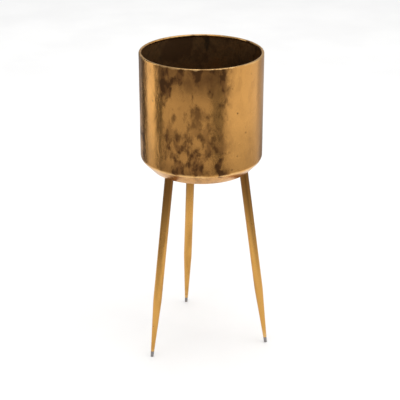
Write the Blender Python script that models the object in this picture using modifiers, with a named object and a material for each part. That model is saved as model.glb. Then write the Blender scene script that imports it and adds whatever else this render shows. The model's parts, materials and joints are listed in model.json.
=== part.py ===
# Brass planter pot on three splayed legs. Metres, +Z up, front towards -Y.
# The origin is on the floor at the centre of the object's box. The rear leg reaches further out than the pot,
# so the pot's own axis stands a little in front of the origin.

import math

import bpy

GAP = 0.0003  # clearance between pieces that touch on the real object
CUTTER_REACH = 0.030  # how far a cutter runs past what it cuts

# Pot: one sheet-metal shell
POT_RADIUS = 0.140
POT_TOP = 0.720
BASE_Z = 0.446  # underside of the flat base
SHEET = 0.0012
BEVEL_WIDTH = 0.026  # bevelled edge between wall and base
BEVEL_HEIGHT = 0.027
BEVEL_TOP_ROUND = 0.012
BEVEL_FOOT_ROUND = 0.005
CURL_RADIUS = 0.0032  # the wall's top edge is rolled inwards over a wire
CURL_END = math.radians(280)
POT_STEPS = 64

# Legs
LEG_AZIMUTH = {"rear": 90, "left": 210, "right": 330}  # degrees about the pot's axis
LEG_SLOPE = 0.14  # outward run per height, the slope of a 14 percent taper washer
LEG_HEAD_R = 0.1005  # from the pot's axis, at the underside of the base
LEG_RADIUS = 0.010
LEG_FOOT_RADIUS = 0.0040
LEG_WALL = 0.0012
LEG_STRAIGHT = 0.305  # length that stays parallel before the taper
LEG_STEPS = 32
FITTING_STEPS = 24  # of the small turned pieces

# Threaded plug in the head of each leg. It stands proud of the tube and bears on the base.
INSERT_PROUD = 0.0008
INSERT_LENGTH = 0.022  # on the leg's axis
TRIM_SPARE = LEG_RADIUS * LEG_SLOPE + 0.004  # how far pieces run past the base before they are trimmed level

# M8 hexagon bolt, on the axis of its leg
BOLT_RADIUS = 0.004
BOLT_LENGTH = 0.025
BOLT_HEAD_ACROSS = 0.013
BOLT_HEAD_HEIGHT = 0.0053

# Washers inside the pot
HOLE_RADIUS = 0.0048  # in the base and the seal; the bolt passes through them at a slant
SEAL_RADIUS = 0.011
SEAL_THICK = 0.002
TAPER_WASHER_SIDE = 0.022
TAPER_WASHER_MIDDLE = 0.0036  # thickness on the bolt's axis
TAPER_WASHER_HOLE = 0.0045

# Plastic glide in the foot of each leg
GLIDE_HEIGHT = 0.014  # the length that shows, along the leg
GLIDE_TIP_RADIUS = 0.0034
GLIDE_STEM_LENGTH = 0.015

SPLAY = math.atan(LEG_SLOPE)
FOOT_REACH = LEG_HEAD_R + LEG_SLOPE * BASE_Z + GLIDE_TIP_RADIUS / math.cos(SPLAY)
POT_AXIS_Y = (POT_RADIUS - FOOT_REACH) / 2
AXIS_LENGTH = BASE_Z / math.cos(SPLAY)  # from base to floor along a leg
SEAL_BOTTOM = BASE_Z + SHEET + GAP
TAPER_BOTTOM = SEAL_BOTTOM + SEAL_THICK + GAP
# along the leg's axis, up from the underside of the base
BOLT_SEAT = (TAPER_BOTTOM + TAPER_WASHER_MIDDLE + GAP - BASE_Z) / math.cos(SPLAY)

for old in list(bpy.data.objects):
    bpy.data.objects.remove(old)


def new_collection(name):
    collection = bpy.data.collections.new(name)
    bpy.context.scene.collection.children.link(collection)
    return collection


planter = new_collection("brass_planter_pot")
cutters = new_collection("cutters")


def make_material(name, colour, metallic, roughness):
    material = bpy.data.materials.new(name)
    material.use_nodes = True
    shader = material.node_tree.nodes["Principled BSDF"]
    shader.inputs["Base Color"].default_value = (*colour, 1)
    shader.inputs["Metallic"].default_value = metallic
    shader.inputs["Roughness"].default_value = roughness
    return material


aged_brass = make_material("aged_brass", (0.55, 0.36, 0.14), 1, 0.32)
leg_brass = make_material("leg_brass", (0.68, 0.45, 0.18), 1, 0.28)
steel = make_material("zinc_steel", (0.62, 0.62, 0.60), 1, 0.38)
black_rubber = make_material("black_rubber", (0.03, 0.03, 0.03), 0, 0.85)
grey_plastic = make_material("grey_plastic", (0.33, 0.32, 0.31), 0, 0.55)


# Outlines are lists of (radius, height) that run down the outer side of the shape.


def arc(centre, radius, start, end, pieces):
    turn = (end - start) / pieces
    return [
        (centre[0] + radius * math.cos(start + turn * i), centre[1] + radius * math.sin(start + turn * i))
        for i in range(pieces + 1)
    ]


def rounded_corner(before, corner, after, radius, pieces):
    # The arc of the given radius that joins the lines before-corner and corner-after.
    heading_in = math.atan2(corner[1] - before[1], corner[0] - before[0])
    heading_out = math.atan2(after[1] - corner[1], after[0] - corner[0])
    turn = (heading_out - heading_in + math.pi) % (2 * math.pi) - math.pi
    back = radius * math.tan(abs(turn) / 2)
    side = math.copysign(math.pi / 2, turn)
    start = (corner[0] - back * math.cos(heading_in), corner[1] - back * math.sin(heading_in))
    centre = (
        start[0] + radius * math.cos(heading_in + side),
        start[1] + radius * math.sin(heading_in + side),
    )
    first = heading_in - side
    return arc(centre, radius, first, first + turn, pieces)


def pot_outline():
    curl_centre = (POT_RADIUS - CURL_RADIUS, POT_TOP - CURL_RADIUS)
    curl = arc(curl_centre, CURL_RADIUS, CURL_END, 0, 10)
    bevel_top = (POT_RADIUS, BASE_Z + BEVEL_HEIGHT)
    bevel_foot = (POT_RADIUS - BEVEL_WIDTH, BASE_Z)
    middle = (0, BASE_Z)
    upper = rounded_corner(curl[-1], bevel_top, bevel_foot, BEVEL_TOP_ROUND, 4)
    lower = rounded_corner(bevel_top, bevel_foot, middle, BEVEL_FOOT_ROUND, 3)
    return curl + upper + lower + [middle]


def outline_mesh(name, outline, closed=False):
    # A closed outline, turned, makes a ring.
    count = len(outline)
    edges = [(i, i + 1) for i in range(count - 1)]
    if closed:
        edges.append((count - 1, 0))
    mesh = bpy.data.meshes.new(name)
    mesh.from_pydata([(radius, 0, height) for radius, height in outline], edges, [])
    return mesh


def place(name, mesh, material, parent=None, location=(0, 0, 0)):
    piece = bpy.data.objects.new(name, mesh)
    planter.objects.link(piece)
    piece.parent = parent
    piece.location = location
    if not mesh.materials:
        mesh.materials.append(material)
    return piece


def place_turned(name, mesh, steps, material, parent=None, location=(0, 0, 0)):
    # The mesh is an outline, turned about the piece's own Z axis.
    piece = place(name, mesh, material, parent, location)
    screw = piece.modifiers.new("turn", "SCREW")
    screw.axis = "Z"
    screw.steps = steps
    screw.render_steps = steps
    screw.use_merge_vertices = True
    screw.merge_threshold = 0.00001
    screw.use_smooth_shade = True
    return piece


def thicken(piece, wall):
    solidify = piece.modifiers.new("wall", "SOLIDIFY")
    solidify.thickness = wall
    solidify.offset = -1


def cut(piece, cutter):
    boolean = piece.modifiers.new("cut_" + cutter.name, "BOOLEAN")
    boolean.operation = "DIFFERENCE"
    boolean.object = cutter


def move_to(collection, piece):
    for holder in list(piece.users_collection):
        holder.objects.unlink(piece)
    collection.objects.link(piece)


def as_cutter(tool, name, parent=None):
    move_to(cutters, tool)
    tool.name = name
    tool.parent = parent
    tool.hide_render = True
    tool.display_type = "WIRE"
    return tool


def slab_cutter(name, low, high):
    # A wide flat box between two heights.
    bpy.ops.mesh.primitive_cube_add(size=1, location=(0, POT_AXIS_Y, (low + high) / 2))
    tool = bpy.context.object
    tool.scale = (0.5, 0.5, high - low)
    return as_cutter(tool, name)


def add_rod(sides, radius, low, high):
    # A cylinder on the Z axis, with its place in its mesh.
    bpy.ops.mesh.primitive_cylinder_add(
        vertices=sides, radius=radius, depth=high - low, location=(0, 0, (low + high) / 2)
    )
    bpy.ops.object.transform_apply()
    return bpy.context.object


def rod_cutter(name, radius, location, parent=None):
    tool = as_cutter(add_rod(FITTING_STEPS, radius, -CUTTER_REACH, CUTTER_REACH), name, parent)
    tool.location = location
    return tool


def make_bolt_mesh():
    # Hexagon head and shank in one, with the seat of the head at the origin.
    across_corners = BOLT_HEAD_ACROSS / 2 / math.cos(math.radians(30))
    head = add_rod(6, across_corners, 0, BOLT_HEAD_HEIGHT)
    shank = add_rod(FITTING_STEPS, BOLT_RADIUS, -BOLT_LENGTH, BOLT_HEAD_HEIGHT / 2)
    union = head.modifiers.new("union", "BOOLEAN")
    union.operation = "UNION"
    union.object = shank
    bpy.context.view_layer.update()
    mesh = bpy.data.meshes.new_from_object(head.evaluated_get(bpy.context.evaluated_depsgraph_get()))
    mesh.name = "leg_bolt"
    mesh.shade_smooth()
    mesh.set_sharp_from_angle(angle=math.radians(35))
    bpy.data.objects.remove(head)
    bpy.data.objects.remove(shank)
    return mesh


def make_taper_washer_mesh():
    # A square block with its top at the origin. Its underside is trimmed to the taper in place.
    bpy.ops.mesh.primitive_cube_add(size=1, location=(0, 0, -TAPER_WASHER_MIDDLE))
    block = bpy.context.object
    block.scale = (TAPER_WASHER_SIDE, TAPER_WASHER_SIDE, 2 * TAPER_WASHER_MIDDLE)
    bpy.ops.object.transform_apply()
    mesh = block.data
    mesh.name = "taper_washer"
    bpy.data.objects.remove(block)
    return mesh


def ring_outline(inner, outer, height):
    # A ring that stands on its origin.
    return [(outer, height), (outer, 0), (inner, 0), (inner, height)]


def tube_outline():
    # The tube starts above the base and is trimmed level just under it.
    foot = GLIDE_HEIGHT - AXIS_LENGTH
    return [(LEG_RADIUS, TRIM_SPARE), (LEG_RADIUS, -LEG_STRAIGHT), (LEG_FOOT_RADIUS, foot)]


def glide_outline():
    # The tip runs on below the floor and is trimmed level with it.
    shoulder = GLIDE_HEIGHT - AXIS_LENGTH - GAP
    stem_radius = LEG_FOOT_RADIUS - LEG_WALL - GAP
    spare = 0.002
    narrowing = (LEG_FOOT_RADIUS - GLIDE_TIP_RADIUS) / (shoulder + AXIS_LENGTH)
    return [
        (0, shoulder + GLIDE_STEM_LENGTH),
        (stem_radius, shoulder + GLIDE_STEM_LENGTH),
        (stem_radius, shoulder),
        (LEG_FOOT_RADIUS, shoulder),
        (GLIDE_TIP_RADIUS - narrowing * spare, -AXIS_LENGTH - spare),
        (0, -AXIS_LENGTH - spare),
    ]


def on_leg(turn, height):
    # The point of a leg's axis at a height, for a leg at that turn about the pot's axis.
    radius = LEG_HEAD_R - LEG_SLOPE * (height - BASE_Z)
    return (radius * math.cos(turn), radius * math.sin(turn) + POT_AXIS_Y, height)


# Pot and rim
pot_mesh = outline_mesh("pot_body", pot_outline())
pot_body = place_turned("pot_body", pot_mesh, POT_STEPS, aged_brass, None, (0, POT_AXIS_Y, 0))
thicken(pot_body, SHEET)

bpy.ops.mesh.primitive_torus_add(
    location=(0, POT_AXIS_Y, POT_TOP - CURL_RADIUS),
    major_radius=POT_RADIUS - CURL_RADIUS,
    minor_radius=CURL_RADIUS - SHEET - GAP,
    major_segments=POT_STEPS,
    minor_segments=8,
)
rim_wire = bpy.context.object
rim_wire.name = "rim_wire"
move_to(planter, rim_wire)
rim_wire.data.materials.append(steel)
rim_wire.data.shade_smooth()

# Shapes that every leg shares
insert_ring = ring_outline(BOLT_RADIUS + GAP, LEG_RADIUS - LEG_WALL - GAP, INSERT_LENGTH + TRIM_SPARE)
tube_mesh = outline_mesh("leg_tube", tube_outline())
insert_mesh = outline_mesh("leg_insert", insert_ring, closed=True)
glide_mesh = outline_mesh("foot_glide", glide_outline())
seal_mesh = outline_mesh("seal_washer", ring_outline(HOLE_RADIUS, SEAL_RADIUS, SEAL_THICK), closed=True)
bolt_mesh = make_bolt_mesh()
taper_washer_mesh = make_taper_washer_mesh()

# Trims that lie level in the assembled object
above_base = slab_cutter("above_base", BASE_Z - GAP, BASE_Z + CUTTER_REACH)
above_tubes = slab_cutter("above_tubes", BASE_Z - GAP - INSERT_PROUD, BASE_Z + CUTTER_REACH)
below_taper_washers = slab_cutter("below_taper_washers", TAPER_BOTTOM - CUTTER_REACH, TAPER_BOTTOM)
below_floor = slab_cutter("below_floor", -CUTTER_REACH, 0)

for side, azimuth in LEG_AZIMUTH.items():
    turn = math.radians(azimuth)

    # The empty holds the leg's axis: its Z runs up the leg, from where the leg meets the base.
    axis = bpy.data.objects.new("leg_axis_" + side, None)
    planter.objects.link(axis)
    axis.location = on_leg(turn, BASE_Z)
    axis.rotation_euler = (0, -SPLAY, turn)
    axis.empty_display_size = 0.05

    tube = place_turned("leg_tube_" + side, tube_mesh, LEG_STEPS, leg_brass, axis)
    thicken(tube, LEG_WALL)
    cut(tube, above_tubes)

    insert = place_turned("leg_insert_" + side, insert_mesh, FITTING_STEPS, steel, axis, (0, 0, -INSERT_LENGTH))
    cut(insert, above_base)

    glide = place_turned("foot_glide_" + side, glide_mesh, FITTING_STEPS, grey_plastic, axis)
    cut(glide, below_floor)

    place("leg_bolt_" + side, bolt_mesh, steel, axis, (0, 0, BOLT_SEAT))

    # The washer's top is square to the bolt, and its underside is level.
    washer = place("taper_washer_" + side, taper_washer_mesh, steel, axis, (0, 0, BOLT_SEAT - GAP))
    cut(washer, below_taper_washers)
    cut(washer, rod_cutter("washer_hole_" + side, TAPER_WASHER_HOLE, (0, 0, 0), axis))

    # The seal lies flat, centred where the slanted bolt passes through it.
    seal_place = (*on_leg(turn, SEAL_BOTTOM + SEAL_THICK / 2)[:2], SEAL_BOTTOM)
    place_turned("seal_washer_" + side, seal_mesh, FITTING_STEPS, black_rubber, None, seal_place)

    cut(pot_body, rod_cutter("base_hole_" + side, HOLE_RADIUS, on_leg(turn, BASE_Z + SHEET / 2)))
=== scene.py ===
import json
import math

import bmesh
import bpy
from mathutils import Matrix, Vector, noise


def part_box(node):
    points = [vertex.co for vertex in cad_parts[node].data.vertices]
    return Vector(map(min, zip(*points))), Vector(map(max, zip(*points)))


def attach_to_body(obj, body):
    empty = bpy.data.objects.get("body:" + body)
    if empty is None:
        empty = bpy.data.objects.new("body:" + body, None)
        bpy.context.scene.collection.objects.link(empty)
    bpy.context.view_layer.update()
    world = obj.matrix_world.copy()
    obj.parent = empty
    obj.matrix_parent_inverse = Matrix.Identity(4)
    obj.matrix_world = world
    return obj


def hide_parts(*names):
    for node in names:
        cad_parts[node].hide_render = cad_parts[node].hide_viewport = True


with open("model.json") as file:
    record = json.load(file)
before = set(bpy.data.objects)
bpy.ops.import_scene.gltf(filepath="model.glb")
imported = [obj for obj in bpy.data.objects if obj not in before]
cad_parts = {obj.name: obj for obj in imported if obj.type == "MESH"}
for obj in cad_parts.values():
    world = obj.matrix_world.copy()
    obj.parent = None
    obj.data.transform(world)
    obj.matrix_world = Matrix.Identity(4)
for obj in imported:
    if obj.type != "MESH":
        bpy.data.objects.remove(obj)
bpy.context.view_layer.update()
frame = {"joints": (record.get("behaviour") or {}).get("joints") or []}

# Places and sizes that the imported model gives
potLow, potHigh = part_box("pot_body")
potAxis = Vector(((potLow.x + potHigh.x) / 2, (potLow.y + potHigh.y) / 2, 0))
potRadius = (potHigh.x - potLow.x) / 2
baseZ = potLow.z
rimZ = potHigh.z
sides = ("rear", "left", "right")
joints = {joint["name"]: joint for joint in frame["joints"]}
fitGap = 0.0003  # between pieces that touch on the real object
upright = Vector((0, 0, 1))


# Small helpers

def legFrame(side):
    # Z runs up the leg from where it meets the base, X points away from the pot's axis.
    bolt = joints["bolt_turn_" + side]
    head = Vector(bolt["pos_m"])
    along = Vector(bolt["axis"]).normalized()
    if along.z < 0:
        along.negate()
    across = along.cross(head - potAxis - upright * head.z).normalized()
    out = across.cross(along)
    turned = Matrix((out, across, along)).transposed().to_4x4()
    return Matrix.Translation(head) @ turned


def startOutline(points, closed=False):
    # A chain of (radius, height) corners in the XZ plane.
    bm = bmesh.new()
    corners = [bm.verts.new((radius, 0, height)) for radius, height in points]
    pairs = list(zip(corners, corners[1:]))
    if closed:
        pairs.append((corners[-1], corners[0]))
    for pair in pairs:
        bm.edges.new(pair)
    return bm


def vertAt(bm, point):
    place = Vector((point[0], 0, point[1]))
    return min(bm.verts, key=lambda vert: (vert.co - place).length)


def roundCorner(bm, point, radius, segments):
    # Rounds one corner of an outline to that radius.
    corner = vertAt(bm, point)
    before, after = [edge.other_vert(corner).co - corner.co for edge in corner.link_edges]
    halfTurn = (math.pi - before.angle(after)) / 2
    bmesh.ops.bevel(
        bm,
        geom=[corner],
        offset=radius * math.tan(halfTurn),
        offset_type="OFFSET",
        affect="VERTICES",
        segments=segments,
        profile=0.5,
        material=-1,
    )


def turnOutline(bm, steps):
    # A full turn about Z, with its seam and poles closed.
    bmesh.ops.spin(
        bm,
        geom=bm.verts[:] + bm.edges[:],
        cent=(0, 0, 0),
        axis=upright,
        dvec=(0, 0, 0),
        angle=2 * math.pi,
        steps=steps,
        use_merge=True,
        use_duplicate=False,
    )
    bmesh.ops.remove_doubles(bm, verts=bm.verts, dist=1e-6)
    bmesh.ops.recalc_face_normals(bm, faces=bm.faces)


def softenEdges(bm, edges, width, segments):
    bmesh.ops.bevel(
        bm,
        geom=list(edges),
        offset=width,
        offset_type="OFFSET",
        affect="EDGES",
        segments=segments,
        profile=0.5,
        material=-1,
        clamp_overlap=True,
    )


def makeObject(name, bm, materials, sharpAngle=40):
    mesh = bpy.data.meshes.new(name)
    bm.to_mesh(mesh)
    bm.free()
    for material in materials:
        mesh.materials.append(material)
    mesh.shade_smooth()
    mesh.set_sharp_from_angle(angle=math.radians(sharpAngle))
    piece = bpy.data.objects.new(name, mesh)
    bpy.context.scene.collection.objects.link(piece)
    return piece


def addBoolean(piece, tool, operation):
    change = piece.modifiers.new("boolean", "BOOLEAN")
    change.operation = operation
    change.object = tool


def applyModifiers(piece, sharpAngle=40):
    depsgraph = bpy.context.evaluated_depsgraph_get()
    finished = bpy.data.meshes.new_from_object(piece.evaluated_get(depsgraph))
    finished.shade_smooth()
    finished.set_sharp_from_angle(angle=math.radians(sharpAngle))
    piece.modifiers.clear()
    piece.data = finished


def attach(piece, body, node):
    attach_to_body(piece, body)
    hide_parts(node)


# Shader helpers and shared groups

def addNode(tree, kind, inputs=None, **settings):
    node = tree.nodes.new(kind)
    for label, value in settings.items():
        setattr(node, label, value)
    for socket, value in (inputs or {}).items():
        if isinstance(value, bpy.types.NodeSocket):
            tree.links.new(value, node.inputs[socket])
        else:
            node.inputs[socket].default_value = value
    return node


def calculate(tree, operation, first, second=0.0, clamp=False):
    inputs = {0: first, 1: second}
    return addNode(tree, "ShaderNodeMath", inputs, operation=operation, use_clamp=clamp).outputs[0]


def combine(tree, operation, value, mask, share, clamp=False):
    # Joins a value with a share of a mask.
    return calculate(tree, operation, value, calculate(tree, "MULTIPLY", mask, share), clamp=clamp)


def vectorMath(tree, operation, first, second=None, result="Vector"):
    inputs = {0: first} if second is None else {0: first, 1: second}
    return addNode(tree, "ShaderNodeVectorMath", inputs, operation=operation).outputs[result]


def remap(tree, value, low, high, toLow=0.0, toHigh=1.0, smooth=True):
    kind = "SMOOTHSTEP" if smooth else "LINEAR"
    inputs = {"Value": value, "From Min": low, "From Max": high, "To Min": toLow, "To Max": toHigh}
    return addNode(tree, "ShaderNodeMapRange", inputs, interpolation_type=kind).outputs["Result"]


def blendColours(tree, amount, first, second, blend="MIX"):
    inputs = {"Factor": amount, 6: first, 7: second}
    return addNode(tree, "ShaderNodeMix", inputs, data_type="RGBA", blend_type=blend).outputs[2]


def startGroup(name, inputs, outputs):
    tree = bpy.data.node_groups.new(name, "ShaderNodeTree")
    for label, value in inputs.items():
        kind = "NodeSocketVector" if isinstance(value, tuple) else "NodeSocketFloat"
        tree.interface.new_socket(label, in_out="INPUT", socket_type=kind).default_value = value
    for label in outputs:
        tree.interface.new_socket(label, in_out="OUTPUT", socket_type="NodeSocketFloat")
    return tree, tree.nodes.new("NodeGroupInput").outputs, tree.nodes.new("NodeGroupOutput")


def useGroup(tree, group, **values):
    node = addNode(tree, "ShaderNodeGroup", node_tree=group)
    for label, value in values.items():
        socket = node.inputs[label]
        if isinstance(value, bpy.types.NodeSocket):
            tree.links.new(value, socket)
        else:
            socket.default_value = value
    return node.outputs


def objectPlace(tree):
    return tree.nodes.new("ShaderNodeTexCoord").outputs["Object"]


def objectHeight(tree):
    return addNode(tree, "ShaderNodeSeparateXYZ", {0: objectPlace(tree)}).outputs["Z"]


def makeCloudGroup():
    # Broad soft clouds, drawn out along any axis by Stretch.
    inputs = {"Scale": 10.0, "Stretch": (1.0, 1.0, 1.0), "Low": 0.45, "High": 0.6, "Seed": 0.0, "Detail": 5.0}
    tree, given, out = startGroup("patinaClouds", inputs, ["Mask", "Raw"])
    place = vectorMath(tree, "MULTIPLY", objectPlace(tree), given["Stretch"])
    settings = {
        "Vector": place,
        "W": given["Seed"],
        "Scale": given["Scale"],
        "Detail": given["Detail"],
        "Roughness": 0.58,
        "Distortion": 0.35,
    }
    cloud = addNode(tree, "ShaderNodeTexNoise", settings, noise_dimensions="4D").outputs[0]
    tree.links.new(remap(tree, cloud, given["Low"], given["High"]), out.inputs["Mask"])
    tree.links.new(cloud, out.inputs["Raw"])
    return tree


def makeSpeckGroup():
    # Small round tarnish spots of uneven size, in some cells only.
    inputs = {"Scale": 120.0, "Share": 0.3, "Size": 0.3, "Seed": 0.0}
    tree, given, out = startGroup("tarnishSpecks", inputs, ["Mask"])
    settings = {"Vector": objectPlace(tree), "Scale": given["Scale"], "W": given["Seed"]}
    cells = addNode(tree, "ShaderNodeTexVoronoi", settings, voronoi_dimensions="4D").outputs
    parts = addNode(tree, "ShaderNodeSeparateColor", {"Color": cells["Color"]}).outputs
    chosen = calculate(tree, "LESS_THAN", parts[0], given["Share"])
    reach = calculate(tree, "MULTIPLY", given["Size"], calculate(tree, "ADD", parts[1], 0.35))
    inner = calculate(tree, "MULTIPLY", reach, 0.35)
    spot = remap(tree, cells["Distance"], inner, reach, 1.0, 0.0)
    tree.links.new(calculate(tree, "MULTIPLY", spot, chosen), out.inputs["Mask"])
    return tree


def makeScratchGroup():
    # Hair lines: a fine noise drawn out by Stretch and cut to its crest.
    inputs = {"Scale": 60.0, "Stretch": (1.0, 1.0, 0.05), "Width": 0.012, "Seed": 0.0}
    tree, given, out = startGroup("hairScratches", inputs, ["Mask"])
    place = vectorMath(tree, "MULTIPLY", objectPlace(tree), given["Stretch"])
    settings = {"Vector": place, "W": given["Seed"], "Scale": given["Scale"], "Detail": 2.0, "Roughness": 0.5}
    lines = addNode(tree, "ShaderNodeTexNoise", settings, noise_dimensions="4D").outputs[0]
    off = calculate(tree, "ABSOLUTE", calculate(tree, "SUBTRACT", lines, 0.5))
    crest = remap(tree, off, 0.0, given["Width"], 1.0, 0.0)
    broken = {"Vector": objectPlace(tree), "Scale": 35.0, "Detail": 2.0}
    gaps = addNode(tree, "ShaderNodeTexNoise", broken).outputs[0]
    kept = calculate(tree, "MULTIPLY", crest, remap(tree, gaps, 0.5, 0.62))
    tree.links.new(kept, out.inputs["Mask"])
    return tree


def makeRubbedGroup():
    # Wear along a level edge, at the height Level, with a ragged outline.
    inputs = {"Level": 0.0, "Width": 0.002, "Ragged": 0.5}
    tree, given, out = startGroup("rubbedEdge", inputs, ["Mask"])
    height = objectHeight(tree)
    off = calculate(tree, "ABSOLUTE", calculate(tree, "SUBTRACT", height, given["Level"]))
    settings = {"Vector": objectPlace(tree), "Scale": 55.0, "Detail": 4.0}
    wander = addNode(tree, "ShaderNodeTexNoise", settings).outputs[0]
    wide = calculate(tree, "MULTIPLY", given["Width"], remap(tree, wander, 0.35, 0.65, 0.3, 1.7))
    solid = remap(tree, off, 0.0, wide, 1.0, 0.0)
    broken = calculate(tree, "MULTIPLY", solid, remap(tree, wander, 0.38, 0.55))
    mixed = addNode(tree, "ShaderNodeMix", {"Factor": given["Ragged"], 2: solid, 3: broken}).outputs[0]
    tree.links.new(mixed, out.inputs["Mask"])
    return tree


def newMaterial(name):
    material = bpy.data.materials.new(name)
    material.use_nodes = True
    tree = material.node_tree
    return material, tree, tree.nodes["Principled BSDF"]


def feed(tree, shader, **links):
    # Links by socket name, with the spaces left out.
    for label, value in links.items():
        socket = next(s for s in shader.inputs if s.name.replace(" ", "") == label)
        if isinstance(value, bpy.types.NodeSocket):
            tree.links.new(value, socket)
        else:
            socket.default_value = value


def bump(tree, height, distance, under=None):
    inputs = {"Height": height, "Distance": distance, "Strength": 1.0}
    if under is not None:
        inputs["Normal"] = under
    return addNode(tree, "ShaderNodeBump", inputs).outputs["Normal"]


def setSurface(tree, shader, colour, rough, grain, depth, metallic=1.0):
    normal = bump(tree, grain["Raw"], depth)
    feed(tree, shader, BaseColor=colour, Roughness=rough, Normal=normal, Metallic=metallic)


clouds = makeCloudGroup()
specks = makeSpeckGroup()
scratches = makeScratchGroup()
rubbed = makeRubbedGroup()
print("shared groups made")


# The pot's values, which its finish needs too

pot = {
    "sheet": 0.0012,
    "bevelWidth": 0.026,
    "bevelHeight": 0.027,
    "bevelTopRound": 0.012,
    "bevelFootRound": 0.005,
    "curlRadius": 0.0032,
    "curlTurn": math.radians(280),
    "curlSteps": 22,
    "turnSteps": 256,
    "wallCuts": 78,
    "floorRings": (0.092, 0.060, 0.030),
    "boltHole": 0.0048,
    "drillDepth": 0.02,
    "wave": 0.00020,  # hand-beaten unevenness, to each side
    "waveGain": 1.6,
    "waves": [
        {"scale": 14, "shift": (3.1, 0, 0), "share": 0.62},
        {"scale": 34, "shift": (0, 7.3, 0), "share": 0.38},
    ],
    # the unevenness fades out over these lengths
    "calmRim": 0.02,
    "calmBase": 0.03,
}


# Materials

agedBrassLook = {
    "clean": (0.85, 0.435, 0.125, 1),
    "worn": (0.93, 0.58, 0.24, 1),
    "brown": (0.33, 0.155, 0.050, 1),
    "dark": (0.125, 0.057, 0.021, 1),
    "rough": (0.19, 0.42),
    # heights where the tarnish changes, under the rim and over the base
    "underRim": (0.085, 0.015),
    "overBase": (0.030, 0.065),
    "bevelEdge": (0.020, 0.031),
    "belt": 0.118,
    "beltSpread": (0.015, 0.065),
    # the sides that were polished last: where they face, and the spread of their edges
    "polished": [
        {"turn": math.radians(-45), "edge": (0.77, 0.90)},
        {"turn": math.radians(-156), "edge": (0.972, 0.992)},
        {"turn": math.radians(48), "edge": (0.90, 0.97)},
        {"turn": math.radians(131), "edge": (0.93, 0.985)},
    ],
}


def makeAgedBrass(look):
    material, tree, shader = newMaterial("agedBrass")
    broad = useGroup(tree, clouds, Scale=9.0, Stretch=(1, 1, 0.8), Low=0.34, High=0.56, Seed=3.1)
    streaks = useGroup(tree, clouds, Scale=36.0, Stretch=(1, 1, 0.55), Low=0.44, High=0.60, Seed=7.7)
    mottle = useGroup(tree, clouds, Scale=70.0, Stretch=(1, 1, 0.6), Low=0.40, High=0.60, Seed=1.3)
    spots = useGroup(tree, specks, Scale=85.0, Share=0.22, Size=0.32, Seed=2.0)
    hairs = useGroup(tree, scratches, Scale=70.0, Stretch=(1, 1, 0.06), Width=0.008, Seed=4.0)
    rim = useGroup(tree, rubbed, Level=rimZ, Width=0.0035, Ragged=0.35)
    foot = useGroup(tree, rubbed, Level=baseZ + pot["bevelHeight"] - 0.001, Width=0.0042, Ragged=0.3)

    # some sides are nearly clean
    out = vectorMath(tree, "SUBTRACT", objectPlace(tree), tuple(potAxis))
    out = vectorMath(tree, "MULTIPLY", out, (1, 1, 0))
    out = vectorMath(tree, "NORMALIZE", out)
    unevenEdge = calculate(tree, "SUBTRACT", streaks["Raw"], 0.5)
    polished = 0.0
    for clean in look["polished"]:
        facing = (math.cos(clean["turn"]), math.sin(clean["turn"]), 0)
        towards = vectorMath(tree, "DOT_PRODUCT", out, facing, result="Value")
        low, high = clean["edge"]
        ragged = combine(tree, "ADD", towards, unevenEdge, 2 * (high - low))
        band = remap(tree, ragged, low, high)
        polished = calculate(tree, "MAXIMUM", band, polished)
    aged = remap(tree, polished, 0.0, 1.0, 1.0, 0.12, smooth=False)

    # browner under the rim and just above the bevelled edge
    height = objectHeight(tree)
    low, high = look["underRim"]
    under = remap(tree, height, rimZ - low, rimZ - high, 0.0, 0.95)
    low, high = look["overBase"]
    above = remap(tree, height, baseZ + low, baseZ + high, 0.55, 0.0)
    banks = calculate(tree, "MULTIPLY", calculate(tree, "ADD", under, above), mottle["Raw"])

    # cleaner on the bevel and in a belt round the wall
    low, high = look["bevelEdge"]
    aged = calculate(tree, "MULTIPLY", aged, remap(tree, height, baseZ + low, baseZ + high, 0.30, 1.0))
    low, high = look["beltSpread"]
    fromBelt = calculate(tree, "ABSOLUTE", calculate(tree, "SUBTRACT", height, rimZ - look["belt"]))
    aged = calculate(tree, "MULTIPLY", aged, remap(tree, fromBelt, low, high, 0.62, 1.0))

    brown = calculate(tree, "MULTIPLY", broad["Mask"], 0.35)
    brown = combine(tree, "MAXIMUM", brown, streaks["Mask"], 0.9)
    brown = calculate(tree, "MULTIPLY", calculate(tree, "ADD", brown, banks), aged, clamp=True)
    darker = calculate(tree, "MULTIPLY", streaks["Mask"], mottle["Mask"])
    darker = calculate(tree, "MULTIPLY", calculate(tree, "ADD", darker, banks), aged, clamp=True)
    darker = combine(tree, "MAXIMUM", darker, spots["Mask"], 0.6)
    worn = calculate(tree, "MAXIMUM", rim["Mask"], foot["Mask"])

    colour = blendColours(tree, brown, look["clean"], look["brown"])
    colour = blendColours(tree, darker, colour, look["dark"])
    colour = blendColours(tree, worn, colour, look["worn"])
    dull = calculate(tree, "MAXIMUM", brown, darker)
    rough = remap(tree, dull, 0.0, 1.0, *look["rough"], smooth=False)
    rough = combine(tree, "ADD", rough, hairs["Mask"], 0.15, clamp=True)

    beaten = useGroup(tree, clouds, Scale=42.0, Stretch=(1, 1, 0.7), Low=0.0, High=1.0, Seed=9.0, Detail=2.0)
    grain = useGroup(tree, clouds, Scale=260.0, Low=0.0, High=1.0, Seed=5.0, Detail=3.0)
    dents = calculate(tree, "MULTIPLY", beaten["Raw"], remap(tree, aged, 0.0, 1.0, 0.4, 1.0))
    normal = bump(tree, dents, 0.0012)
    normal = bump(tree, grain["Raw"], 0.00012, under=normal)
    normal = bump(tree, calculate(tree, "MULTIPLY", spots["Mask"], -1.0), 0.00008, under=normal)
    feed(tree, shader, BaseColor=colour, Roughness=rough, Normal=normal, Metallic=1.0)
    return material


agedBrass = makeAgedBrass(agedBrassLook)

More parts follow.
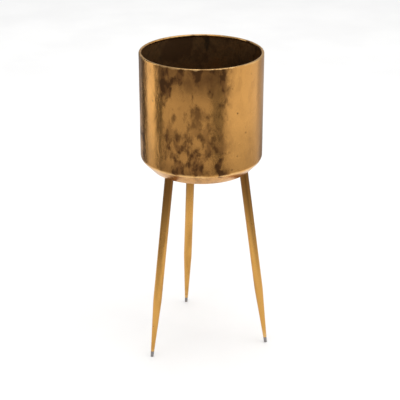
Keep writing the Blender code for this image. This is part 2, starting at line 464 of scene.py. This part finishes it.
insideBrassLook = {
    "clean": (0.50, 0.29, 0.12, 1),
    "brown": (0.17, 0.092, 0.042, 1),
    "stain": (0.07, 0.05, 0.032, 1),
    "rough": (0.42, 0.62),
    "tide": (0.005, 0.09),  # heights over the base
}


def makeInsideBrass(look):
    # Never polished: dull, with a darker tide towards the floor of the pot.
    material, tree, shader = newMaterial("insideBrass")
    broad = useGroup(tree, clouds, Scale=14.0, Low=0.38, High=0.62, Seed=11.0)
    stains = useGroup(tree, clouds, Scale=34.0, Stretch=(1, 1, 0.35), Low=0.52, High=0.68, Seed=12.0)
    height = objectHeight(tree)
    low, high = look["tide"]
    tide = remap(tree, height, baseZ + low, baseZ + high, 0.75, 0.0)
    stained = combine(tree, "MAXIMUM", stains["Mask"], tide, broad["Raw"])
    colour = blendColours(tree, broad["Mask"], look["clean"], look["brown"])
    colour = blendColours(tree, calculate(tree, "MULTIPLY", stained, 0.8), colour, look["stain"])
    rough = remap(tree, broad["Mask"], 0.0, 1.0, *look["rough"])
    grain = useGroup(tree, clouds, Scale=190.0, Low=0.0, High=1.0, Seed=13.0, Detail=4.0)
    setSurface(tree, shader, colour, rough, grain, 0.0002)
    return material


insideBrass = makeInsideBrass(insideBrassLook)

legBrassLook = {
    "clean": (0.75, 0.405, 0.108, 1),
    # brown: tarnish, and also the painted shade under the pot near the head
    "brown": (0.22, 0.098, 0.026, 1),
    "worn": (0.84, 0.51, 0.19, 1),
    "rough": (0.2, 0.4),
    "smoky": (0.22, 0.01),  # heights under the base over which the painted shade under the pot grows
    "footLevel": 0.0145,
}


def makeLegBrass(look):
    # Smoother than the pot; browner towards the head, which is painted shade under the pot's base, with brown
    # tarnish patches and spots.
    material, tree, shader = newMaterial("legBrass")
    broad = useGroup(tree, clouds, Scale=26.0, Stretch=(1, 1, 0.3), Low=0.46, High=0.68, Seed=21.0)
    spots = useGroup(tree, specks, Scale=190.0, Share=0.2, Size=0.3, Seed=22.0)
    hairs = useGroup(tree, scratches, Scale=240.0, Stretch=(1, 1, 0.04), Width=0.02, Seed=23.0)
    height = objectHeight(tree)
    # painted shade: the leg darkens towards its head, under the pot's base
    low, high = look["smoky"]
    smoky = remap(tree, height, baseZ - low, baseZ - high, 0.0, 0.92)
    # brown joins the painted shade under the pot with brown tarnish patches and spots
    brown = combine(tree, "MAXIMUM", smoky, broad["Mask"], 0.45)
    brown = combine(tree, "MAXIMUM", brown, spots["Mask"], 0.7)
    foot = useGroup(tree, rubbed, Level=look["footLevel"], Width=0.02, Ragged=0.5)
    colour = blendColours(tree, brown, look["clean"], look["brown"])
    colour = blendColours(tree, foot["Mask"], colour, look["worn"])
    rough = remap(tree, brown, 0.0, 1.0, *look["rough"], smooth=False)
    rough = combine(tree, "ADD", rough, hairs["Mask"], 0.15, clamp=True)
    grain = useGroup(tree, clouds, Scale=320.0, Stretch=(1, 1, 0.2), Low=0.0, High=1.0, Seed=24.0)
    setSurface(tree, shader, colour, rough, grain, 0.0001)
    return material


legBrass = makeLegBrass(legBrassLook)

zincSteelLook = {
    "bright": (0.62, 0.62, 0.60, 1),
    "dull": (0.36, 0.36, 0.35, 1),
    "rust": (0.20, 0.10, 0.05, 1),
    "rough": (0.28, 0.48),
}


def makeZincSteel(look):
    material, tree, shader = newMaterial("zincSteel")
    broad = useGroup(tree, clouds, Scale=90.0, Low=0.42, High=0.62, Seed=31.0)
    spots = useGroup(tree, specks, Scale=420.0, Share=0.12, Size=0.3, Seed=32.0)
    hairs = useGroup(tree, scratches, Scale=500.0, Stretch=(1, 0.2, 1), Width=0.02, Seed=33.0)
    colour = blendColours(tree, broad["Mask"], look["bright"], look["dull"])
    colour = blendColours(tree, calculate(tree, "MULTIPLY", spots["Mask"], 0.6), colour, look["rust"])
    rough = remap(tree, broad["Mask"], 0.0, 1.0, *look["rough"])
    rough = combine(tree, "ADD", rough, hairs["Mask"], 0.12, clamp=True)
    grain = useGroup(tree, clouds, Scale=900.0, Low=0.0, High=1.0, Seed=34.0)
    setSurface(tree, shader, colour, rough, grain, 0.00005)
    return material


zincSteel = makeZincSteel(zincSteelLook)

blackRubberLook = {"black": (0.02, 0.02, 0.021, 1), "dusty": (0.10, 0.095, 0.085, 1), "rough": (0.62, 0.9)}


def makeBlackRubber(look):
    material, tree, shader = newMaterial("blackRubber")
    dust = useGroup(tree, clouds, Scale=150.0, Low=0.48, High=0.72, Seed=41.0)
    colour = blendColours(tree, dust["Mask"], look["black"], look["dusty"])
    rough = remap(tree, dust["Mask"], 0.0, 1.0, *look["rough"])
    grain = useGroup(tree, clouds, Scale=1400.0, Low=0.0, High=1.0, Seed=42.0)
    setSurface(tree, shader, colour, rough, grain, 0.00008, metallic=0.0)
    return material


blackRubber = makeBlackRubber(blackRubberLook)

greyPlasticLook = {"grey": (0.20, 0.19, 0.185, 1), "scuffed": (0.40, 0.38, 0.36, 1), "rough": (0.42, 0.7)}


def makeGreyPlastic(look):
    material, tree, shader = newMaterial("greyPlastic")
    uneven = useGroup(tree, clouds, Scale=220.0, Low=0.42, High=0.66, Seed=51.0)
    sole = useGroup(tree, rubbed, Level=0.0, Width=0.0022, Ragged=0.6)
    hairs = useGroup(tree, scratches, Scale=420.0, Stretch=(1, 1, 0.3), Width=0.03, Seed=52.0)
    scuffed = combine(tree, "MAXIMUM", sole["Mask"], hairs["Mask"], 0.5)
    scuffed = combine(tree, "MAXIMUM", scuffed, uneven["Mask"], 0.25)
    colour = blendColours(tree, scuffed, look["grey"], look["scuffed"])
    rough = remap(tree, scuffed, 0.0, 1.0, *look["rough"])
    grain = useGroup(tree, clouds, Scale=1600.0, Low=0.0, High=1.0, Seed=53.0)
    setSurface(tree, shader, colour, rough, grain, 0.00005, metallic=0.0)
    return material


greyPlastic = makeGreyPlastic(greyPlasticLook)
print("finishes made")


# Pot

def bowing(place, values):
    # How far the sheet stands off its true shape at a place.
    total = 0.0
    for wave in values["waves"]:
        total += wave["share"] * noise.noise(place * wave["scale"] + Vector(wave["shift"]))
    return values["wave"] * total * values["waveGain"]


def makePotShell(values):
    curlCentre = Vector((potRadius - values["curlRadius"], 0, rimZ - values["curlRadius"]))
    points = [
        (potRadius, curlCentre.z),
        (potRadius, baseZ + values["bevelHeight"]),
        (potRadius - values["bevelWidth"], baseZ),
        *[(ring, baseZ) for ring in values["floorRings"]],
        (0, baseZ),
    ]
    bm = startOutline(points)
    roundCorner(bm, points[1], values["bevelTopRound"], 8)
    roundCorner(bm, points[2], values["bevelFootRound"], 5)
    wall = max(bm.edges, key=lambda edge: edge.calc_length())
    bmesh.ops.bisect_edges(bm, edges=[wall], cuts=values["wallCuts"])
    bmesh.ops.spin(
        bm,
        geom=[vertAt(bm, points[0])],
        cent=curlCentre,
        axis=(0, -1, 0),
        dvec=(0, 0, 0),
        angle=values["curlTurn"],
        steps=values["curlSteps"],
        use_merge=False,
        use_duplicate=False,
    )
    turnOutline(bm, values["turnSteps"])
    bmesh.ops.translate(bm, verts=bm.verts, vec=potAxis)
    bm.normal_update()
    shifts = []
    for vert in bm.verts:
        fromRim = (curlCentre.z - vert.co.z) / values["calmRim"]
        fromBase = (vert.co.z - baseZ) / values["calmBase"]
        fade = max(0.0, min(1.0, fromRim)) * max(0.0, min(1.0, fromBase))
        shifts.append(vert.normal * bowing(vert.co, values) * fade)
    for vert, shift in zip(bm.verts, shifts):
        vert.co += shift
    shell = makeObject("potShell", bm, [agedBrass, insideBrass])
    wallModifier = shell.modifiers.new("wall", "SOLIDIFY")
    wallModifier.thickness = values["sheet"]
    wallModifier.offset = -1
    wallModifier.use_even_offset = True
    wallModifier.material_offset = 1
    cutterMesh = bmesh.new()
    for side in sides:
        middle = legFrame(side).translation + upright * values["sheet"] / 2
        bmesh.ops.create_cone(
            cutterMesh,
            cap_ends=True,
            segments=48,
            radius1=values["boltHole"],
            radius2=values["boltHole"],
            depth=values["drillDepth"],
            matrix=Matrix.Translation(middle),
        )
    cutter = makeObject("boltHoles", cutterMesh, [insideBrass])
    addBoolean(shell, cutter, "DIFFERENCE")
    applyModifiers(shell)
    bpy.data.objects.remove(cutter)
    attach(shell, "pot", "pot_body")


makePotShell(pot)

rimWire = {"radius": 0.0017, "around": 14}


def makeRimWire(values):
    bm = bmesh.new()
    place = Vector((potRadius - pot["curlRadius"], 0, rimZ - pot["curlRadius"]))
    bmesh.ops.create_circle(
        bm,
        segments=values["around"],
        radius=values["radius"],
        matrix=Matrix.Translation(place) @ Matrix.Rotation(math.pi / 2, 4, "X"),
    )
    turnOutline(bm, pot["turnSteps"])
    bmesh.ops.translate(bm, verts=bm.verts, vec=potAxis)
    wire = makeObject("rimWire", bm, [zincSteel])
    attach(wire, "pot", "rim_wire")


makeRimWire(rimWire)
print("pot made")


# Legs

leg = {
    "radius": 0.010,
    "footRadius": 0.0040,
    "wall": 0.0012,
    "straight": 0.305,  # stays parallel this far below the head
    "taperRound": 0.35,
    "footRound": 0.0004,
    "glideHeight": 0.014,
    "steps": 96,
    "spare": 0.008,  # built past the base, then trimmed level
}

insert = {
    "radius": 0.0085,
    "bore": 0.0043,
    "length": 0.022,
    "pitch": 0.00125,
    "thread": 0.0003,
    "counterbore": 0.0026,
    "firstGroove": 0.0008,
    "chamfer": 0.0006,
    "proud": 0.0008,  # how far it stands out of the tube
    "spare": 0.006,
}

splayCos = legFrame("rear").col[2].z
axisLength = baseZ / splayCos


def levelTrim(bm, height, keepBelow):
    # Cuts level at a height. Returns the edges of the open cut.
    cut = bmesh.ops.bisect_plane(
        bm,
        geom=bm.verts[:] + bm.edges[:] + bm.faces[:],
        plane_co=(0, 0, height),
        plane_no=upright,
        clear_outer=keepBelow,
        clear_inner=not keepBelow,
    )["geom_cut"]
    return [edge for edge in cut if isinstance(edge, bmesh.types.BMEdge)]


def makeLegTube(side, values):
    foot = values["glideHeight"] - axisLength
    inner = values["radius"] - values["wall"]
    innerFoot = values["footRadius"] - values["wall"]
    points = [
        (values["radius"], values["spare"]),
        (values["radius"], -values["straight"]),
        (values["footRadius"], foot),
        (innerFoot, foot),
        (inner, -values["straight"]),
        (inner, values["spare"]),
    ]
    bm = startOutline(points)
    roundCorner(bm, points[1], values["taperRound"], 8)
    roundCorner(bm, points[2], values["footRound"], 3)
    turnOutline(bm, values["steps"])
    bmesh.ops.transform(bm, matrix=legFrame(side), verts=bm.verts)
    bmesh.ops.bridge_loops(bm, edges=levelTrim(bm, baseZ - fitGap - insert["proud"], True))
    bmesh.ops.recalc_face_normals(bm, faces=bm.faces)
    tube = makeObject("legTube_" + side, bm, [legBrass])
    attach(tube, "leg_" + side, "leg_tube_" + side)


def makeInsert(side, values):
    # A turned plug with a grooved bore. It stands proud of the tube and bears on the base.
    foot = -values["length"]
    chamfer = values["chamfer"]
    mouth = values["bore"] + values["thread"]
    points = [
        (values["radius"], values["spare"]),
        (values["radius"], foot + chamfer),
        (values["radius"] - chamfer, foot),
        (mouth, foot),
    ]
    grooves = round((values["length"] - values["counterbore"]) / values["pitch"]) - 1
    for groove in range(grooves):
        level = foot + values["firstGroove"] + groove * values["pitch"]
        points.append((values["bore"], level))
        points.append((mouth, level + values["pitch"] / 2))
    points.append((mouth, values["spare"]))
    bm = startOutline(points)
    turnOutline(bm, 64)
    bmesh.ops.transform(bm, matrix=legFrame(side), verts=bm.verts)
    bmesh.ops.bridge_loops(bm, edges=levelTrim(bm, baseZ - fitGap, True))
    bmesh.ops.recalc_face_normals(bm, faces=bm.faces)
    plug = makeObject("legInsert_" + side, bm, [zincSteel], 25)
    attach(plug, "leg_" + side, "leg_insert_" + side)


glide = {
    "tipRadius": 0.0034,
    "stemLength": 0.015,
    "stemClear": 0.0003,
    "stemPoint": (0.0005, 0.0015),
    # the collar and the moulded groove under it: set in, and down from the shoulder
    "collar": [
        (0.0003, 0),
        (0, 0.0003),
        (0.00003, 0.0022),
        (0.0003, 0.0026),
        (0.0003, 0.0032),
        (0.0001, 0.0036),
    ],
    "soleRound": 0.0005,
    "spare": 0.002,
}


def makeGlide(side, values):
    shoulder = leg["glideHeight"] - axisLength - fitGap
    stem = leg["footRadius"] - leg["wall"] - values["stemClear"]
    inset, drop = values["stemPoint"]
    below = values["spare"]
    narrowing = (leg["footRadius"] - values["tipRadius"]) / leg["glideHeight"]
    points = [
        (0, shoulder + values["stemLength"]),
        (stem - inset, shoulder + values["stemLength"]),
        (stem, shoulder + values["stemLength"] - drop),
        (stem, shoulder),
        *[(leg["footRadius"] - setIn, shoulder - down) for setIn, down in values["collar"]],
        (values["tipRadius"] - narrowing * below, -axisLength - below),
        (0, -axisLength - below),
    ]
    bm = startOutline(points)
    turnOutline(bm, 64)
    bmesh.ops.transform(bm, matrix=legFrame(side), verts=bm.verts)
    bmesh.ops.contextual_create(bm, geom=levelTrim(bm, 0.0, False))
    sole = [edge for edge in bm.edges if all(abs(vert.co.z) < 1e-6 for vert in edge.verts)]
    softenEdges(bm, sole, values["soleRound"], 3)
    bmesh.ops.recalc_face_normals(bm, faces=bm.faces)
    foot = makeObject("footGlide_" + side, bm, [greyPlastic])
    attach(foot, "leg_" + side, "foot_glide_" + side)


for side in sides:
    makeLegTube(side, leg)
    makeInsert(side, insert)
    makeGlide(side, glide)
print("legs made")


# Bolts, washers and seals

bolt = {
    "radius": 0.004,
    "core": 0.00335,
    "pitch": 0.00125,
    "length": 0.025,
    "across": 0.013,
    "headHeight": 0.0053,
    "washerFace": 0.0004,
    "faceInset": 0.0006,
    "headPoint": (0.0004, 0.0016),  # the turned top: in from the flats, and down
    "plain": 0.0012,
    "runIn": 0.0016,
    "endPoint": (0.0007, 0.0006),
    "threadFrom": 0.0010,
    "threadRoot": 0.0003,
    "threadCrest": 0.06,  # half its width, as a share of the pitch
    "threadShort": 0.0024,
    "seat": 0.007758,  # up the leg's axis from the underside of the base
    "turnSteps": 32,
}


def makeBolt(side, values):
    # Hexagon head with a turned top and a washer face, on a threaded shank.
    bm = bmesh.new()
    flat = values["across"] / 2
    corner = flat / math.cos(math.radians(30))
    top = values["headHeight"]
    face = values["washerFace"]
    bmesh.ops.create_cone(
        bm,
        cap_ends=True,
        segments=6,
        radius1=corner,
        radius2=corner,
        depth=top - face,
        matrix=Matrix.Translation((0, 0, (top + face) / 2)),
    )
    headMesh = makeObject("boltHead", bm, [zincSteel])
    # the cone that turns the head's corners down
    inset, drop = values["headPoint"]
    past = 0.001
    wide = corner + 2 * past
    cone = startOutline([(0, -past), (wide, -past), (wide, top - drop), (flat - inset, top), (0, top)])
    turnOutline(cone, 96)
    coneMesh = makeObject("boltCone", cone, [zincSteel])
    addBoolean(headMesh, coneMesh, "INTERSECT")
    applyModifiers(headMesh, 30)
    bm = bmesh.new()
    bm.from_mesh(headMesh.data)
    bpy.data.objects.remove(headMesh)
    bpy.data.objects.remove(coneMesh)
    inset, drop = values["endPoint"]
    faceRadius = flat - values["faceInset"]
    shank = startOutline(
        [
            (0, face + past),
            (faceRadius, face + past),
            (faceRadius, 0),
            (values["radius"], 0),
            (values["radius"], -values["plain"]),
            (values["core"], -values["runIn"]),
            (values["core"], -values["length"] + drop),
            (values["core"] - inset, -values["length"]),
            (0, -values["length"]),
        ]
    )
    turnOutline(shank, 64)
    root = values["core"] - values["threadRoot"]
    level = -values["threadFrom"]
    halfRoot = values["pitch"] * 0.5
    halfCrest = values["pitch"] * values["threadCrest"]
    ridge = startOutline(
        [
            (root, level + halfRoot),
            (values["radius"], level + halfCrest),
            (values["radius"], level - halfCrest),
            (root, level - halfRoot),
        ],
        closed=True,
    )
    bmesh.ops.contextual_create(ridge, geom=ridge.edges[:])
    turns = (values["length"] - values["threadShort"]) / values["pitch"]
    steps = round(turns * values["turnSteps"])
    bmesh.ops.spin(
        ridge,
        geom=ridge.faces[:] + ridge.edges[:] + ridge.verts[:],
        cent=(0, 0, 0),
        axis=(0, 0, -1),
        dvec=(0, 0, -values["pitch"] * turns / steps),
        angle=2 * math.pi * turns,
        steps=steps,
        use_merge=False,
        use_duplicate=False,
    )
    bmesh.ops.recalc_face_normals(ridge, faces=ridge.faces)
    for part in (shank, ridge):
        mesh = bpy.data.meshes.new("boltPart")
        part.to_mesh(mesh)
        part.free()
        bm.from_mesh(mesh)
        bpy.data.meshes.remove(mesh)
    place = legFrame(side) @ Matrix.Translation((0, 0, values["seat"]))
    bmesh.ops.transform(bm, matrix=place, verts=bm.verts)
    screw = makeObject("legBolt_" + side, bm, [zincSteel], 30)
    attach(screw, "bolt_" + side, "leg_bolt_" + side)


taperWasher = {
    "side": 0.022,
    "middle": 0.0036,
    "hole": 0.0045,
    "edge": 0.0004,
    "underside": 0.0038,
    # the drill, from the washer's top: its cone's upper radius and height, and where the cone ends
    "drillCone": (0.0057, 0.001),
    "drillTurn": -0.0003,
    "drillEnds": (0.01, -0.02),
}


def makeTaperWasher(side, values):
    # Square to the bolt on top, level underneath.
    place = legFrame(side) @ Matrix.Translation((0, 0, bolt["seat"] - fitGap))
    bm = bmesh.new()
    size = Matrix.Diagonal((values["side"], values["side"], 2 * values["middle"], 1))
    bmesh.ops.create_cube(bm, size=1, matrix=Matrix.Translation((0, 0, -values["middle"])) @ size)
    bmesh.ops.transform(bm, matrix=place, verts=bm.verts)
    cut = levelTrim(bm, baseZ + values["underside"], False)
    bmesh.ops.contextual_create(bm, geom=cut)
    bmesh.ops.recalc_face_normals(bm, faces=bm.faces)
    softenEdges(bm, bm.edges, values["edge"], 3)
    washer = makeObject("taperWasher_" + side, bm, [zincSteel], 30)
    top, bottom = values["drillEnds"]
    hole = values["hole"]
    outline = [(0, top), values["drillCone"], (hole, values["drillTurn"]), (hole, bottom), (0, bottom)]
    drill = startOutline(outline)
    turnOutline(drill, 64)
    bmesh.ops.transform(drill, matrix=place, verts=drill.verts)
    drillPiece = makeObject("washerDrill", drill, [zincSteel])
    addBoolean(washer, drillPiece, "DIFFERENCE")
    applyModifiers(washer, 30)
    bpy.data.objects.remove(drillPiece)
    attach(washer, "pot", "taper_washer_" + side)


seal = {"inner": 0.0048, "outer": 0.011, "thick": 0.002, "round": 0.0005, "bottom": 0.0015}


def makeSeal(side, values):
    points = [
        (values["outer"], values["thick"]),
        (values["outer"], 0),
        (values["inner"], 0),
        (values["inner"], values["thick"]),
    ]
    bm = startOutline(points, closed=True)
    for point in points:
        roundCorner(bm, point, values["round"], 4)
    turnOutline(bm, 64)
    level = baseZ + values["bottom"]
    axis = legFrame(side)
    middle = axis @ Vector((0, 0, (values["bottom"] + values["thick"] / 2) / axis.col[2].z))
    bmesh.ops.translate(bm, verts=bm.verts, vec=(middle.x, middle.y, level))
    washer = makeObject("sealWasher_" + side, bm, [blackRubber])
    attach(washer, "pot", "seal_washer_" + side)


for side in sides:
    makeBolt(side, bolt)
    makeTaperWasher(side, taperWasher)
    makeSeal(side, seal)
print("fittings made")


# Floor, light and camera

floor = {
    "radius": 20.0,
    "pale": (0.92, 0.92, 0.918, 1),
    "uneven": (0.88, 0.88, 0.88, 1),
    # colours that only reflections see: painted light near the pot, painted shade further out
    "nearReflected": (0.74, 0.73, 0.71, 1),
    "farReflected": (0.42, 0.40, 0.38, 1),
    "fades": (0.55, 1.0),  # from the painted pool of light near the pot to the painted shade further out
}


def makeFloor(values):
    material, tree, shader = newMaterial("paleFloor")
    place = objectPlace(tree)
    flat = vectorMath(tree, "MULTIPLY", place, (1, 1, 0))
    away = vectorMath(tree, "LENGTH", flat, result="Value")
    path = tree.nodes.new("ShaderNodeLightPath").outputs
    fine = addNode(tree, "ShaderNodeTexNoise", {"Vector": place, "Scale": 3.0, "Detail": 3.0}).outputs[0]
    soft = remap(tree, fine, 0.3, 0.7)
    colour = blendColours(tree, soft, values["pale"], values["uneven"])
    # painted reflection: polished metal sees the floor as a painted pool of light near the pot, fading to
    # painted shade further out; the camera sees it pale
    fade = remap(tree, away, *values["fades"])
    paintedReflection = blendColours(tree, fade, values["nearReflected"], values["farReflected"])
    colour = blendColours(tree, path["Is Glossy Ray"], colour, paintedReflection)
    feed(tree, shader, BaseColor=colour, Roughness=0.9)
    bm = bmesh.new()
    bmesh.ops.create_circle(bm, cap_ends=True, segments=96, radius=values["radius"])
    makeObject("floor", bm, [material])


makeFloor(floor)

# Curved cards that only polished metal sees: start and end in degrees about the pot
cards = {
    "keyCard": {"start": -58, "end": 15, "light": 0.84},
    "stripCard": {"start": 143, "end": 167, "light": 1.05},
    "leftFlag": {"start": 120, "end": 141, "light": 0.04},
    "innerFlag": {"start": 169, "end": 184, "light": 0.08},
    "rightFlag": {"start": -84, "end": -66, "light": 0.22},
    "rearCard": {"start": 30, "end": 84, "light": 0.46},
}
# brighter higher up, as a card lit from above is: up to fullAt, from a share of its light
cardPlace = {"low": 0.0, "high": 2.0, "away": 1.15, "fullAt": 0.30, "lowShare": 0.50}


def makeCard(name, values):
    material = bpy.data.materials.new(name)
    material.use_nodes = True
    tree = material.node_tree
    tree.nodes.clear()
    dimmest = values["light"] * cardPlace["lowShare"]
    strength = remap(tree, objectHeight(tree), 0.0, cardPlace["fullAt"], dimmest, values["light"])
    glow = addNode(tree, "ShaderNodeEmission", {"Color": (1, 0.985, 0.96, 1), "Strength": strength})
    end = addNode(tree, "ShaderNodeOutputMaterial")
    tree.links.new(glow.outputs[0], end.inputs["Surface"])
    bm = bmesh.new()
    start = math.radians(values["start"])
    away = cardPlace["away"]
    first = bm.verts.new((away * math.cos(start), away * math.sin(start), cardPlace["low"]))
    bmesh.ops.spin(
        bm,
        geom=[first],
        cent=(0, 0, 0),
        axis=upright,
        dvec=(0, 0, 0),
        angle=math.radians(values["end"]) - start,
        steps=24,
        use_merge=False,
        use_duplicate=False,
    )
    raised = bmesh.ops.extrude_edge_only(bm, edges=bm.edges[:])["geom"]
    risen = [vert for vert in raised if isinstance(vert, bmesh.types.BMVert)]
    bmesh.ops.translate(bm, verts=risen, vec=upright * (cardPlace["high"] - cardPlace["low"]))
    bmesh.ops.translate(bm, verts=bm.verts, vec=potAxis)
    card = makeObject(name, bm, [material])
    for ray in ("camera", "diffuse", "shadow", "transmission", "volume_scatter"):
        setattr(card, "visible_" + ray, False)


for name, values in cards.items():
    makeCard(name, values)

lampAim = (0, 0, 0.35)
lamps = {
    "overhead": {"place": (0.2, -0.3, 2.6), "size": 2.2, "watts": 14, "glossy": True},
    "leftFill": {"place": (-2.2, -1.6, 1.9), "size": 1.6, "watts": 6, "glossy": False},
    "rightFill": {"place": (2.4, -1.2, 1.9), "size": 1.6, "watts": 8, "glossy": False},
    "rearFill": {"place": (0.4, 2.6, 2.0), "size": 1.6, "watts": 5, "glossy": False},
}


def turnTowards(thing, place):
    aim = Vector(place) - thing.location
    thing.rotation_euler = aim.to_track_quat("-Z", "Y").to_euler()


def makeLamp(name, values):
    data = bpy.data.lights.new(name, "AREA")
    data.shape = "DISK"
    data.size = values["size"]
    data.energy = values["watts"]
    data.color = (1, 0.99, 0.97)
    lamp = bpy.data.objects.new(name, data)
    lamp.location = values["place"]
    turnTowards(lamp, lampAim)
    lamp.visible_camera = False
    lamp.visible_glossy = values["glossy"]
    bpy.context.scene.collection.objects.link(lamp)


for name, values in lamps.items():
    makeLamp(name, values)

sky = {"colour": (1, 1, 1, 1), "seen": 1.0, "soft": 1.0, "reflected": 0.38}


def makeSky(values):
    world = bpy.data.worlds.new("paleRoom")
    world.use_nodes = True
    tree = world.node_tree
    background = tree.nodes["Background"]
    path = tree.nodes.new("ShaderNodeLightPath").outputs
    seen = calculate(tree, "MULTIPLY", path["Is Camera Ray"], values["seen"] - values["soft"])
    dimmed = calculate(tree, "MULTIPLY", path["Is Glossy Ray"], values["soft"] - values["reflected"])
    strength = calculate(tree, "SUBTRACT", calculate(tree, "ADD", seen, values["soft"]), dimmed)
    background.inputs["Color"].default_value = values["colour"]
    tree.links.new(strength, background.inputs["Strength"])
    bpy.context.scene.world = world


makeSky(sky)

camera = {"away": 2.485, "azimuth": -103.9, "height": 1.453, "aim": (0.0, 0.0, 0.352), "lens": 104}


def makeCamera(values):
    data = bpy.data.cameras.new("camera")
    data.lens = values["lens"]
    data.sensor_width = 36
    data.clip_end = 60
    eye = bpy.data.objects.new("camera", data)
    turn = math.radians(values["azimuth"])
    towards = Vector((math.cos(turn), math.sin(turn), 0))
    eye.location = potAxis + towards * values["away"] + upright * values["height"]
    turnTowards(eye, values["aim"])
    bpy.context.scene.collection.objects.link(eye)
    bpy.context.scene.camera = eye


makeCamera(camera)
bpy.context.scene.view_settings.view_transform = "Standard"
print("floor, light and camera made")
